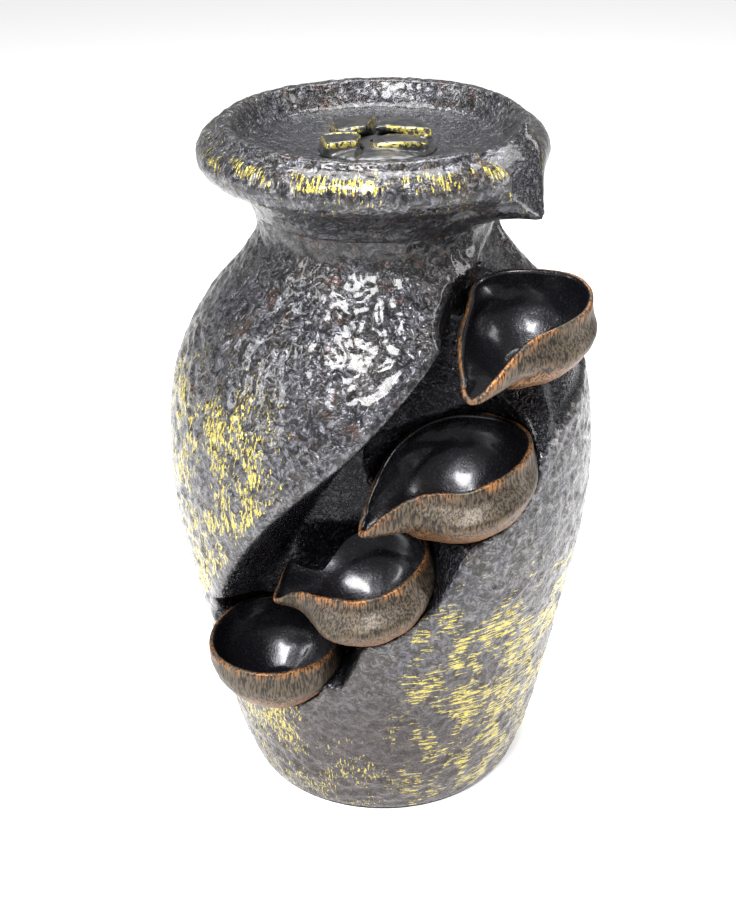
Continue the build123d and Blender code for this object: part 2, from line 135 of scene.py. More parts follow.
# ---- numbers shared with the CAD, in millimetres ----
JAR_OUTLINE = np.array([
    (62.5, 1.5), (68.2, 18), (75.3, 48), (83.5, 90), (91.0, 132), (92.1, 170),
    (85.8, 204), (72.8, 228), (57.5, 246), (50.0, 260), (51.3, 268),
])
WALL, FOOT, SEAM = 5.0, 1.5, 268.0
SEAM_OVERLAP = 0.7
DOOR_WIDTH, DOOR_HEIGHT, DOOR_MIDDLE, DOOR_CORNER = 62.0, 72.0, 116.0, 10.0
GROMMET_HEIGHT, GROMMET_FACE = 66.0, 76.0
DISH_FLOOR, RIM_RADIUS, RIM_ROLL, RIM_HEIGHT = 290.0, 64.6, 8.8, 291.4
DRAIN_BEARING, DRAIN_HEIGHT, DRAIN_RADIUS = -38.0, 71.0, 3.4

# The niche is drawn on the jar's skin, by bearing in degrees from the front towards +X.
# The lobe's rolled edge runs down the front: bearing and height.
LOBE_EDGE = np.array([
    (-75, 78), (-63.6, 90.4), (-54.7, 106.6), (-43.5, 128.8), (-35.8, 145.8), (-25.9, 164.5),
    (-15.1, 180.9), (-5.2, 195.7), (3.7, 208.5), (11.1, 218), (20.2, 228.3), (29.7, 236),
    (42.7, 244.8), (54.6, 252.8), (68, 259), (90, 268),
])
# The niche's lower edge steps down under the cups: bearing and height.
LOWER_EDGE = np.array([
    (-75, 92), (-60, 86), (-50, 80), (-13, 80), (-10, 89), (-7, 100), (-4, 108), (6, 116), (14, 124),
    (18, 137), (22, 149), (27, 155), (36, 162), (42, 171), (46, 182), (54, 188.5), (65, 194),
    (83, 196.5), (100, 200),
])
# How deep the niche's floor lies, and how wide its walls under the two edges are.
NICHE_DEPTH = np.array([
    (-68, 0), (-60, 10), (-50, 20), (-40, 28), (-25, 34), (20, 36), (33, 31), (45, 24), (55, 15),
    (65, 11), (76, 7), (92, 0),
])
LOBE_WALL = np.array([(-60, 4), (28, 5), (38, 9), (48, 20), (60, 34), (90, 40)])
LOWER_WALL = np.array([(-60, 8), (20, 8), (38, 10), (46, 16), (60, 22), (90, 22)])
NICHE_LEFT, NICHE_RIGHT = -74, 89
EDGE_SLANT = 0.77  # the edges run aslant, so the distance to one is less than the height to it


def smooth(x):
    """0 below 0, 1 above 1, and a smooth step between."""
    x = np.clip(x, 0, 1)
    return x * x * (3 - 2 * x)


def soft_min(a, b, k):
    """The smaller of two fields, rounded over where they are within k of each other."""
    h = np.clip(0.5 + 0.5 * (b - a) / k, 0, 1)
    return b + (a - b) * h - k * h * (1 - h)


def soft_max(a, b, k):
    return -soft_min(-a, -b, k)


def hermite(points, column_in, column_out, at):
    """Smooth curve through the points, read at the given places."""
    x, y = points[:, column_in], points[:, column_out]
    slope = np.gradient(y, x)
    i = np.clip(np.searchsorted(x, at) - 1, 0, len(x) - 2)
    span = x[i + 1] - x[i]
    t = np.clip((at - x[i]) / span, 0, 1)
    return (
        (2 * t**3 - 3 * t**2 + 1) * y[i] + (t**3 - 2 * t**2 + t) * span * slope[i]
        + (3 * t**2 - 2 * t**3) * y[i + 1] + (t**3 - t**2) * span * slope[i + 1]
    )


FINE_HEIGHT = np.linspace(-5, 275, 1121)
FINE_RADIUS = hermite(JAR_OUTLINE, 1, 0, np.clip(FINE_HEIGHT, FOOT, SEAM))
FINE_SLOPE = np.gradient(FINE_RADIUS, FINE_HEIGHT)


def jar_radius(z):
    return np.interp(z, FINE_HEIGHT, FINE_RADIUS)


def rolled(distance, depth, width, roll):
    """Depth below the skin, past a rolled edge at distance 0."""
    radius = np.minimum(roll, depth + 1e-3)
    inside = np.clip(distance / radius + 1, 0, 1)
    over_the_roll = radius * (1 - np.sqrt(1 - inside**2 * 0.999))
    return over_the_roll + np.maximum(depth - radius, 0) * smooth(distance / width)


def below_lobe_edge(phi, z):
    """Distance below the lobe's edge, along the jar's skin."""
    return (hermite(LOBE_EDGE, 0, 1, np.clip(phi, NICHE_LEFT, NICHE_RIGHT)) - z) * EDGE_SLANT


def niche_depth(phi, z):
    """How far the niche is sunk below the jar's skin at a bearing and height."""
    depth = np.interp(phi, NICHE_DEPTH[:, 0], NICHE_DEPTH[:, 1])
    above_lower = (z - np.interp(phi, LOWER_EDGE[:, 0], LOWER_EDGE[:, 1])) * EDGE_SLANT
    lobe_wall = np.interp(phi, LOBE_WALL[:, 0], LOBE_WALL[:, 1])
    lower_wall = np.interp(phi, LOWER_WALL[:, 0], LOWER_WALL[:, 1])
    from_lobe = rolled(below_lobe_edge(phi, z), depth, lobe_wall, 4.5)
    from_lower = rolled(above_lower, depth, lower_wall, 2.5)
    return np.where((phi > NICHE_LEFT) & (phi < NICHE_RIGHT), np.minimum(from_lobe, from_lower), 0)


RESERVE_STEP = 1.5


def niche_reserve():
    """The niche's depth spread sideways by more than the wall, as a grid over bearing and height."""
    bearings, heights = np.arange(-90, 111, 1.0), np.arange(-4, 276, RESERVE_STEP)
    table = niche_depth(bearings[:, None], heights[None, :])
    for _ in range(6):
        wide = np.pad(table, 1, mode="edge")
        sideways = [wide[:-2, 1:-1], wide[2:, 1:-1], wide[1:-1, :-2], wide[1:-1, 2:]]
        table = np.max([wide[1:-1, 1:-1], *sideways], axis=0)
    return bearings, heights, table


RESERVE = niche_reserve()


def reserved_depth(phi, z):
    """Reads the reserve's grid between its points."""
    bearings, heights, table = RESERVE
    column = np.clip(phi - bearings[0], 0, len(bearings) - 1.001)
    row = np.clip((z - heights[0]) / RESERVE_STEP, 0, len(heights) - 1.001)
    i, j = column.astype(int), row.astype(int)
    a, b = column - i, row - j
    near = table[i, j] * (1 - b) + table[i, j + 1] * b
    far = table[i + 1, j] * (1 - b) + table[i + 1, j + 1] * b
    return near * (1 - a) + far * a


# ---- cups ----
class Cup:
    """A leaf-shaped bowl's place and size. Local x points along the lip, local z is the rim's normal."""

    def __init__(self, name, middle, radius, depth, heading, slope, reach):
        turn = math.radians(heading)
        ahead = Vector((math.sin(turn), -math.cos(turn), 0))
        up = Vector((slope[0], slope[1], 1)).normalized()
        along = (ahead - up * ahead.dot(up)).normalized()
        self.name = name
        self.middle = np.array(middle)
        self.axes = np.array([along, up.cross(along), up])
        self.radius = radius
        self.depth = depth
        self.reach = reach

    def local(self, x, y, z):
        offset = (x - self.middle[0], y - self.middle[1], z - self.middle[2])
        return [sum(axis[i] * offset[i] for i in range(3)) for axis in self.axes]

    def world(self, points):
        return points @ self.axes + self.middle

    def span(self, turn, share, grow=0.0):
        """Radius of the bowl in a direction, at a share of its depth below the rim."""
        pull = (self.reach - self.radius) * np.clip(1 - 1.45 * share, 0, 1)
        facing = np.clip(np.cos(turn), 0, 1)
        flank = np.where(np.sin(turn) > 0, facing**6.5, facing**3.6)
        return (self.radius + grow) * (1 - 0.62 * np.clip(share, 0, 1) ** 2.6) + pull * flank

    def field(self, x, y, z, grow):
        """Roughly the distance outside the bowl's outer skin, carried a little above its rim."""
        a, b, c = self.local(x, y, z)
        turn = np.arctan2(b, a)
        share = -c / (self.depth + grow)
        side = (np.hypot(a, b) - self.span(turn, np.clip(share, 0, 1), grow)) * 0.8
        return np.maximum(side, np.maximum(-c - self.depth - grow, c - 10))


# Name, middle of the rim, radius, depth, bearing of the lip, slope of the rim, and reach of the lip.
cups = [
    Cup("cup_1_top", (57.4, -50.5, 241.0), 28.5, 30.0, -36.0, (-0.10, -0.20), 48.0),
    Cup("cup_2_upper", (30.2, -67.2, 182.0), 32.0, 32.0, -68.0, (-0.21, -0.15), 47.0),
    Cup("cup_3_lower", (-9.2, -73.4, 135.0), 30.0, 30.0, -94.0, (-0.21, -0.15), 39.0),
    Cup("cup_4_bottom", (-45.7, -58.2, 94.0), 29.3, 31.0, -38.0, (0.0, -0.10), 29.3),
]


# ---- solids from distance fields ----
def lattice(low, high, step):
    """Coordinates of a regular grid that fills a box."""
    axes = [np.arange(a, b + step, step) for a, b in zip(low, high)]
    return np.meshgrid(*axes, indexing="ij", sparse=True)


def skin(name, field, low, step):
    """Closed mesh of quads round the negative part of a field."""
    grid = openvdb.FloatGrid(3 * step)
    grid.copyFromArray(np.clip(field, -3 * step, 3 * step).astype(np.float32))
    points, quads = grid.convertToQuads(isovalue=0.0)[:2]
    points = np.asarray(points, dtype=np.float64) * step + np.array(low)
    return points, facing_out(points, np.asarray(quads))


def facing_out(points, quads):
    """The same faces, turned so that the mesh encloses a positive volume."""
    a, b, c, d = (points[quads[:, k]] for k in range(4))
    volume = np.einsum("ij,ij->i", a, np.cross(b, c)).sum()
    volume += np.einsum("ij,ij->i", a, np.cross(c, d)).sum()
    return quads if volume > 0 else quads[:, ::-1]


def new_object(name, points, quads):
    mesh = bpy.data.meshes.new(name)
    mesh.from_pydata((points * MM).tolist(), [], quads.tolist())
    mesh.update()
    mesh.shade_smooth()
    thing = bpy.data.objects.new(name, mesh)
    bpy.context.collection.objects.link(thing)
    return thing


def add_value(thing, name, values):
    """A number at each vertex, for the materials."""
    layer = thing.data.attributes.new(name, "FLOAT", "POINT")
    layer.data.foreach_set("value", np.asarray(values, dtype=np.float32))


def normals_of(points, quads):
    """Smooth vertex normals."""
    a, b, c, d = (points[quads[:, k]] for k in range(4))
    across = np.cross(c - a, d - b)
    total = np.zeros_like(points)
    for corner in range(4):
        np.add.at(total, quads[:, corner], across)
    return total / (np.linalg.norm(total, axis=1, keepdims=True) + 1e-12)


def relax(points, quads, rounds):
    """Evens out a mesh."""
    count = np.zeros(len(points))
    for corner in range(4):
        np.add.at(count, quads[:, corner], 2)
    for _ in range(rounds):
        total = np.zeros_like(points)
        for corner in range(4):
            after, before = points[quads[:, (corner + 1) % 4]], points[quads[:, corner - 1]]
            np.add.at(total, quads[:, corner], after + before)
        points = 0.5 * points + 0.5 * total / count[:, None]
    return points


def rho_of(points):
    return np.hypot(points[:, 0], points[:, 1])


def fractal(points, size, octaves=3):
    """Noise from about -1 to 1 whose largest lumps are size millimetres apart; size may differ by axis."""
    scaled = points / np.asarray(size, dtype=float)
    return np.array([noise.fractal(Vector(p), 1.0, 2.1, octaves) for p in scaled.tolist()])


def hammered(points):
    """The cast skin's relief in millimetres: winding ridges with pits between them."""
    warp = fractal(points + 40, 22, 2)
    bent = points + warp[:, None] * np.array([9.0, 9.0, 7.0])
    ridges = 1 - np.abs(fractal(bent, 9, 2)) * 2.2
    pits = fractal(points - 60, 4.2, 2)
    return 0.55 * np.clip(ridges, -1, 1) + 0.35 * pits - 0.35


def rounded_box(a, b, half_a, half_b, corner):
    """Distance outside a rectangle with rounded corners."""
    qa, qb = np.abs(a) - half_a + corner, np.abs(b) - half_b + corner
    return np.hypot(np.maximum(qa, 0), np.maximum(qb, 0)) + np.minimum(np.maximum(qa, qb), 0) - corner


# ---- jar ----
JAR_STEP = 1.25
CUP_GAP = 0.45
HOLLOW_FLOOR, HOLLOW_TOP = 9.5, 256.0
NECK_BORE, NECK_FROM = 44.0, 254.0
FOOT_BORES = ((53.0, 20.0), (58.6, 6.5))  # radius, and the height each reaches up to
BACK_FROM = 50.0  # cuts at the back start this far behind the middle
DOOR_LEDGE, DOOR_GAP, REBATE_DEPTH = 4.0, 0.4, 3.0
BOSS_RADIUS, BOSS_WALL, FLANGE_HOLE, CORD_HOLE = 13.0, 3.0, 9.6, 6.0
DRAIN_FROM, DRAIN_TO = 34.0, 70.0


def steepness(depth):
    """Squared slope of the niche's depth over the jar's grid, with a limit."""
    slopes = (
        np.diff(depth, axis=1, prepend=depth[:, :1]),
        np.diff(depth, axis=2, prepend=depth[:, :, :1]),
        np.diff(depth, axis=0, prepend=depth[:1]),
    )
    return np.clip(sum(slope**2 for slope in slopes) / JAR_STEP**2, 0, 9)


def jar_hollow(x, y, z, rho, phi, lean):
    """The reservoir: as the outside but a wall further in, clear of the cups and of the grommet's boss."""
    hollow = (rho - jar_radius(z) + reserved_depth(phi, z) + WALL) * lean
    for cup in cups:
        keep = max(cup.radius, cup.depth) + WALL
        offset = (x - cup.middle[0]) ** 2 + (y - cup.middle[1]) ** 2 + (z - cup.middle[2]) ** 2
        hollow = np.maximum(hollow, keep - np.sqrt(offset))
    boss = np.maximum(np.hypot(x, z - GROMMET_HEIGHT) - BOSS_RADIUS, GROMMET_FACE - BOSS_WALL - y)
    hollow = np.maximum(hollow, -boss)
    hollow = np.maximum(hollow, np.maximum(HOLLOW_FLOOR - z, z - HOLLOW_TOP))
    hollow = np.minimum(hollow, np.maximum(rho - NECK_BORE, NECK_FROM - z))
    for radius, top in FOOT_BORES:
        hollow = np.minimum(hollow, np.maximum(rho - radius, z - top))
    return hollow


def cut_back(solid, x, y, z, rho, lean):
    """Cuts the service opening with its rebate, and the cord's hole with its two counterbores."""
    behind = BACK_FROM - y
    half_width, half_height = DOOR_WIDTH / 2, DOOR_HEIGHT / 2
    from_door = z - DOOR_MIDDLE
    inner_corner = DOOR_CORNER - DOOR_LEDGE
    opening = rounded_box(x, from_door, half_width - DOOR_LEDGE, half_height - DOOR_LEDGE, inner_corner)
    solid = np.maximum(solid, -np.maximum(opening, behind))
    rebate = rounded_box(x, from_door, half_width + DOOR_GAP, half_height + DOOR_GAP, DOOR_CORNER)
    sill = (jar_radius(z) - REBATE_DEPTH - rho) * lean
    solid = np.maximum(solid, -np.maximum(np.maximum(rebate, behind), sill))
    hole = np.hypot(x, z - GROMMET_HEIGHT)
    flange = hole - FLANGE_HOLE
    solid = np.maximum(solid, -np.maximum(hole - CORD_HOLE, behind))
    solid = np.maximum(solid, -np.maximum(flange, GROMMET_FACE - y))
    return np.maximum(solid, -np.maximum(np.maximum(flange, behind), y - GROMMET_FACE + BOSS_WALL))


def cut_drain(solid, x, y, z):
    """Cuts the bore from the lowest cup into the reservoir."""
    turn = math.radians(DRAIN_BEARING)
    sideways = x * math.cos(turn) + y * math.sin(turn)
    outward = x * math.sin(turn) - y * math.cos(turn)
    bore = np.hypot(sideways, z - DRAIN_HEIGHT) - DRAIN_RADIUS
    return np.maximum(solid, -np.maximum(bore, np.maximum(DRAIN_FROM - outward, outward - DRAIN_TO)))


def jar_field(x, y, z):
    """Negative inside the jar's wall. It stands a touch above its seam, where the dish covers it."""
    rho = np.hypot(x, y)
    phi = np.degrees(np.arctan2(x, -y))
    lean = 1 / np.sqrt(1 + np.interp(z, FINE_HEIGHT, FINE_SLOPE) ** 2)
    sunk = niche_depth(phi, z)
    outside = (rho - jar_radius(z) + sunk) * lean / np.sqrt(1 + steepness(sunk))
    outside = np.maximum(np.maximum(outside, z - SEAM - SEAM_OVERLAP), FOOT - z)
    for cup in cups:
        outside = np.maximum(outside, -cup.field(x, y, z, CUP_GAP))
    solid = np.maximum(outside, -jar_hollow(x, y, z, rho, phi, lean))
    solid = cut_back(solid, x, y, z, rho, lean)
    return cut_drain(solid, x, y, z)


def make_jar():
    low = (-97, -97, -3)
    x, y, z = lattice(low, (97, 97, 272), JAR_STEP)
    points, quads = skin("jar", jar_field(x, y, z), low, JAR_STEP)
    points = relax(points, quads, 1)
    out = normals_of(points, quads)
    phi = np.degrees(np.arctan2(points[:, 0], -points[:, 1]))
    z = points[:, 2]
    sunk = niche_depth(phi, z)
    skin_depth = jar_radius(z) - rho_of(points)
    # The relief covers the outer skin, fades at the lobe's edge, and leaves the niche smooth.
    outer = smooth((1.6 - np.abs(skin_depth - np.minimum(sunk, 3.5))) / 1.6 + 0.4)
    bare = smooth((sunk - 0.3) / 2.0)
    edge = below_lobe_edge(phi, z)
    near_lobe = smooth((edge + 9) / 5) * (1 - smooth((edge - 5) / 3)) * (phi > -70) * (phi < 75)
    behind_cup_1 = smooth((phi - 45) / 8) * smooth((z - 222) / 10)
    amount = outer * (1 - 0.85 * bare * (1 - behind_cup_1)) * (1 - 0.8 * near_lobe * (1 - behind_cup_1))
    fade_at_foot = smooth((z - 1.5) / 6)
    points = points + out * (hammered(points) * amount * fade_at_foot)[:, None]
    points[:, 2] = np.clip(points[:, 2], FOOT, SEAM + SEAM_OVERLAP)
    jar = new_object("jar_skin", points, quads)
    niche = np.clip(np.maximum(bare, smooth((skin_depth - 4) / 2)), 0, 1)
    add_value(jar, "niche", niche * (1 - behind_cup_1 * 0.8))
    add_value(jar, "band", near_lobe * (1 - behind_cup_1))
    return jar


# ---- dish ----
DISH_STEP = 0.95
SPIGOT_BORE, SPIGOT_RADIUS = 40.0, 43.85
SPIGOT_FOOT, SPIGOT_ROOF = 258.0, 286.0
# Underside from the spigot out: radius and height.
DISH_UNDER = np.array([
    (SPIGOT_RADIUS, 267.3), (51.3, 267.3), (53.2, 272), (56.8, 277.5), (61.4, 283.2), (66, 289), (90, 320),
])
SPOUT_BEARING = 51.5
# The spout, outwards from the dish's middle: distance, half widths to its left and right, height of its
# lip's crest and of its channel, and its underside.
SPOUT = np.array([
    (40, 20, 34, 292.6, 290.5, 268.0), (50, 18, 35, 296.0, 288.5, 268.0), (57, 16, 33, 298.6, 284.5, 271.0),
    (64, 14.5, 27, 296.4, 281.0, 274.0), (70, 11, 17.5, 289.2, 279.0, 275.0),
    (75, 7.4, 9.5, 283.8, 277.8, 275.2), (78.5, 4.4, 4.6, 280.4, 277.0, 275.2),
    (80.5, 2.2, 2.2, 278.0, 276.6, 275.6),
])


def spout_at(x, y):
    """The spout's measures at a place: those of SPOUT, and the place's share of the half width."""
    turn = math.radians(SPOUT_BEARING)
    out_along = x * math.sin(turn) - y * math.cos(turn)
    side = x * math.cos(turn) + y * math.sin(turn)
    far = np.clip(out_along, SPOUT[0, 0], SPOUT[-1, 0])
    left, right, crest, channel, low = [np.interp(far, SPOUT[:, 0], SPOUT[:, k]) for k in range(1, 6)]
    side = side + 0.2 * (79 - far)  # the channel runs nearer the left lip
    half = np.where(side < 0, left, right)
    return SimpleNamespace(
        out=out_along, side=side, left=left, half=half, share=np.abs(side) / half, crest=crest,
        channel=channel, low=low,
    )


def dish_plate(rho, z):
    """The floor and the spigot, rising into the rim."""
    rise = 0.6 * smooth(rho / 34) + 3.0 * smooth((rho - 32) / 24) + 0.12 * np.clip(rho - 50, 0, 9) ** 2
    under = np.interp(rho, DISH_UNDER[:, 0], DISH_UNDER[:, 1])
    under = np.where(rho < SPIGOT_RADIUS, SPIGOT_FOOT, under)
    under = np.where(rho < SPIGOT_BORE, SPIGOT_ROOF, under)
    return np.maximum(z - (DISH_FLOOR + rise), under - z) * 0.85, under


def dish_field(x, y, z):
    """Negative inside the dish."""
    rho = np.hypot(x, y)
    phi = np.degrees(np.arctan2(x, -y))
    # The rim is a roll, drawn in a little on its right side.
    right = smooth((phi - 48) / 26) * smooth((150 - phi) / 45)
    rim_at = RIM_RADIUS - 3.6 * right
    rim = np.hypot(rho - rim_at, z - RIM_HEIGHT) - RIM_ROLL
    plate, under = dish_plate(rho, z)
    solid = soft_min(np.maximum(plate, rho - rim_at), rim, 2.5)
    # The spout: a pulled lip with a channel down its middle, whose right wall climbs more gently.
    spout = spout_at(x, y)
    lip = (spout.share - 1) * spout.half * 0.75
    belly = spout.low + 5.5 * np.clip(spout.share, 0, 1) ** 2
    mass = soft_max(lip, soft_max(z - spout.crest, belly - z, 2.0), 2.5)
    mass = np.maximum(mass, 38 - spout.out)
    mass = np.maximum(mass, spout.out - 80.2)
    solid = soft_min(solid, mass, 3.0)
    climb = np.clip(spout.share / 0.86, 0, 1.3) ** np.where(spout.side < 0, 5.0, 1.45)
    bottom = spout.channel + (spout.crest - spout.channel + 3) * climb
    cut = np.maximum((bottom - z) * 0.6, 46 - spout.out)
    cut = np.maximum(cut, (spout.share - 0.93) * spout.half * 0.8)
    solid = soft_max(solid, -cut, 1.2)
    solid = np.maximum(solid, np.where(rho < 51, under - z, -9.0))
    return np.maximum(solid, 6.1 - rho)


def make_dish():
    low = (-78, -78, 255)
    x, y, z = lattice(low, (84, 84, 303), DISH_STEP)
    points, quads = skin("dish", dish_field(x, y, z), low, DISH_STEP)
    points = relax(points, quads, 2)
    out = normals_of(points, quads)
    rho, height = rho_of(points), points[:, 2]
    seen = smooth((rho - 40) / 8) + smooth((height - 288) / 1.5) * (rho <= 48)
    flat = smooth((rho - 8) / 20) * (0.45 + 0.55 * smooth((rho - 50) / 6))
    amount = np.clip(seen, 0, 1) * 0.6 * (0.2 + 0.8 * flat)
    spout = spout_at(points[:, 0], points[:, 1])
    near_spout = smooth((spout.out - 50) / 6) * (spout.share < 1.25)
    right_of_lip = smooth((spout.side + 0.72 * spout.left) / 2.5)
    channel_shade = near_spout * smooth((0.97 - spout.share) / 0.12) * right_of_lip
    amount = amount * (1 - 0.75 * near_spout)
    points = points + out * (hammered(points) * amount)[:, None]
    dish = new_object("dish_skin", points, quads)
    on_crest = smooth(1 - np.abs(spout.share - 0.9) / 0.16) * smooth((out[:, 2] + 0.2) / 0.4)
    # The channel attribute marks painted shade down in the spout's channel, where its lip shades it.
    add_value(dish, "channel", channel_shade * smooth((points[:, 2] - spout.channel + 3) / 3))
    add_value(dish, "crest", near_spout * on_crest)
    return dish


# ---- bubbler ----
BUBBLER_RADIUS = 24.4
# Each petal's middle, turn, half length, half width, height, and how pointed its far end is.
PETALS = (
    (-7.0, 11.5, 8, 12.0, 9.5, 298.9, 0.1), (13.0, 8.5, -38, 12.0, 8.2, 298.6, 0.75),
    (9.0, -8.5, -4, 11.5, 6.8, 297.0, 0.45), (-14.0, -6.0, 12, 8.6, 8.4, 297.4, 0.1),
)
# Each groove's bearing, shift from the middle, and half width.
GROOVES = ((-14, 3.5, 1.7), (94, 0.5, 1.0))


def make_bubbler():
    """Low mound carrying four pebble-like petals parted by a cross of grooves."""
    step = 0.5
    base = DISH_FLOOR + 0.4
    low = (-27, -27, base - 0.5)
    x, y, z = lattice(low, (27, 27, 301), step)
    rho = np.hypot(x, y)
    solid = (np.sqrt(rho**2 + (5.6 * (z - base)) ** 2) - BUBBLER_RADIUS) * 0.4
    for px, py, turned, length, across, height, point in PETALS:
        turn = math.radians(turned)
        along = (x - px) * math.cos(turn) + (y - py) * math.sin(turn)
        side = -(x - px) * math.sin(turn) + (y - py) * math.cos(turn)
        narrow = across * (1 - point * smooth((along + 2) / 15))
        pebble = rounded_box(along, side, length, narrow, 3.5)
        crown = (z - height + 0.05 * along * point + 0.010 * (along**2 + side**2)) * 0.95
        petal = soft_max(pebble + 0.18 * np.clip(z - 293, -3, 6), crown, 0.7)
        solid = soft_min(solid, petal, 0.6)
    for bearing, shift, width in GROOVES:
        turn = math.radians(bearing)
        groove = np.hypot(x * math.cos(turn) + y * math.sin(turn) + shift, (z - 298.5) * 0.26) - width
        solid = soft_max(solid, -groove, 0.8)
    # A flat foot, the nozzle's hole, and room for the nozzle's head.
    solid = np.maximum(solid, base - z)
    solid = np.maximum(solid, 4.5 - rho)
    solid = np.maximum(solid, -np.maximum(rho - 11, z - base - 5.0))
    points, quads = skin("cap", solid, low, step)
    points = relax(points, quads, 2)
    out = normals_of(points, quads)
    points = points + out * (fractal(points, 3.5, 2) * 0.15)[:, None]
    points[:, 2] = np.clip(points[:, 2], base, 299.4)
    bubbler = new_object("bubbler_skin", points, quads)
    steep = 1 - smooth((out[:, 2] - 0.70) / 0.18)
    facing = smooth((0.35 - out[:, 1]) / 0.3)
    raised = smooth((points[:, 2] - 294.0) / 1.2) * smooth((rho_of(points) - 6) / 2)
    add_value(bubbler, "worn", steep * facing * raised)
    return bubbler


# ---- cups as swept skins ----
CUP_WALL = 2.9
# Each rim's reach, how far its lip drops, and its outline seen along its normal: direction from the lip
# towards the front, and radius.
LEAF = {
    "cup_1_top": (48, 14, [
        (-110, 30), (-74, 24), (-39, 27), (-20, 33.5), (-8, 40.5), (-1, 46), (4, 47.5), (8, 46), (14, 40),
        (21, 32.5), (30, 26.5), (45, 22.5), (67, 22), (95, 23), (119, 25.5), (139, 28), (165, 28.5),
        (192, 28), (220, 29),
    ]),
    "cup_2_upper": (47, 12, [
        (-112, 34), (-92, 34), (-67, 32), (-45, 32.5), (-27, 35.5), (-11, 41), (-3, 45.5), (3, 47), (7, 44),
        (11, 37.5), (16, 31), (24, 26), (42, 22.5), (68, 22.5), (93, 23.5), (120, 26), (147, 29.5),
        (165, 31.5), (196, 32), (224, 33),
    ]),
    "cup_3_lower": (41, 11, [
        (-115, 33), (-95, 34), (-75, 35.5), (-59, 38), (-46, 40), (-30, 40.5), (-16, 40), (-6, 41),
        (-1, 39.5), (4, 34), (13, 27), (33, 22), (56, 20.5), (82, 20), (113, 20.5), (142, 23), (168, 26),
        (192, 29.5), (210, 31), (228, 32),
    ]),
    "cup_4_bottom": (60, 0, [
        (-115, 29), (-60, 29), (-30, 29), (0, 28.5), (30, 27.5), (60, 27), (90, 27), (120, 27.5),
        (150, 28.5), (180, 29), (215, 29),
    ]),
}


def ring(turns, table):
    """Radius of a closed outline in the given directions."""
    table = np.array(table, dtype=float)
    wrapped = np.concatenate([table - [360, 0], table, table + [360, 0]])
    return hermite(wrapped, 0, 1, np.degrees(turns))


def flat_ring(radius, turn):
    return np.stack([radius * np.cos(turn), radius * np.sin(turn)], axis=1)


def cup_layers(cup, around):
    """Rings from the outer bottom up over the rim and down inside: flat outline, level, inside or not.

    Also gives the rim's height in each column."""
    reach, drop, table = LEAF[cup.name]
    lipped = drop > 0
    even = np.linspace(-math.pi, math.pi, around, endpoint=False)
    turn = even - 0.72 * np.sin(even) * lipped  # more columns near the tip
    low_turn = even - 0.25 * np.sin(even) * lipped
    rim_out = flat_ring(ring(turn, table), turn)
    rim_out += 0.35 * np.stack([np.sin(turn * 5 + cup.radius), np.cos(turn * 4 + cup.depth)], axis=1)
    spine = np.stack([np.clip(rim_out[:, 0], 0, max(reach - 9, 0) * lipped), np.zeros(around)], axis=1)
    inward = spine - rim_out
    span = np.linalg.norm(inward, axis=1, keepdims=True)
    rim_in = rim_out + inward / span * np.minimum(CUP_WALL, span * 0.6)
    height = -drop * np.clip((rim_out[:, 0] - 8) / (reach - 8), 0, 1) ** 2
    height += 0.25 * np.sin(turn * 3 + cup.depth)
    flank = 1 - 0.16 * np.exp(-((np.degrees(low_turn) - 28) / 24) ** 2) * lipped

    def belly(share, shrink):
        size = (cup.radius - shrink) * (1 - 0.62 * share**2.6) * (1 - (1 - flank) * (1 - share))
        return flat_ring(size, low_turn)

    near_rim, near_bottom = [0.0, 0.02, 0.05, 0.08, 0.12, 0.16], [0.94, 0.97, 0.992]
    shares = np.concatenate([near_rim, np.linspace(0.2, 0.9, 18), near_bottom])
    outer, inner = [], []
    for share in shares:
        blend = smooth((share - 0.02) / 0.34)
        flat = rim_out * (1 - blend) + belly(share, 0) * blend
        level = (height - 1.5) * (1 - share) - cup.depth * share
        outer.append((flat, level, 0.0))
        blend = smooth(share / 0.42)
        flat = rim_in * (1 - blend) + belly(share, CUP_WALL + 0.4) * blend
        level = (height - 1.5) * (1 - share) - (cup.depth - CUP_WALL) * share
        inner.append((flat, level, 1.0))
    over = []
    for lift in np.linspace(0, math.pi, 9)[1:-1]:
        across = (1 + math.cos(lift)) / 2
        level = height - 1.5 + 1.6 * math.sin(lift)
        over.append((rim_in + (rim_out - rim_in) * across, level, float(lift > 1.9)))
    return outer[::-1] + over + inner, height


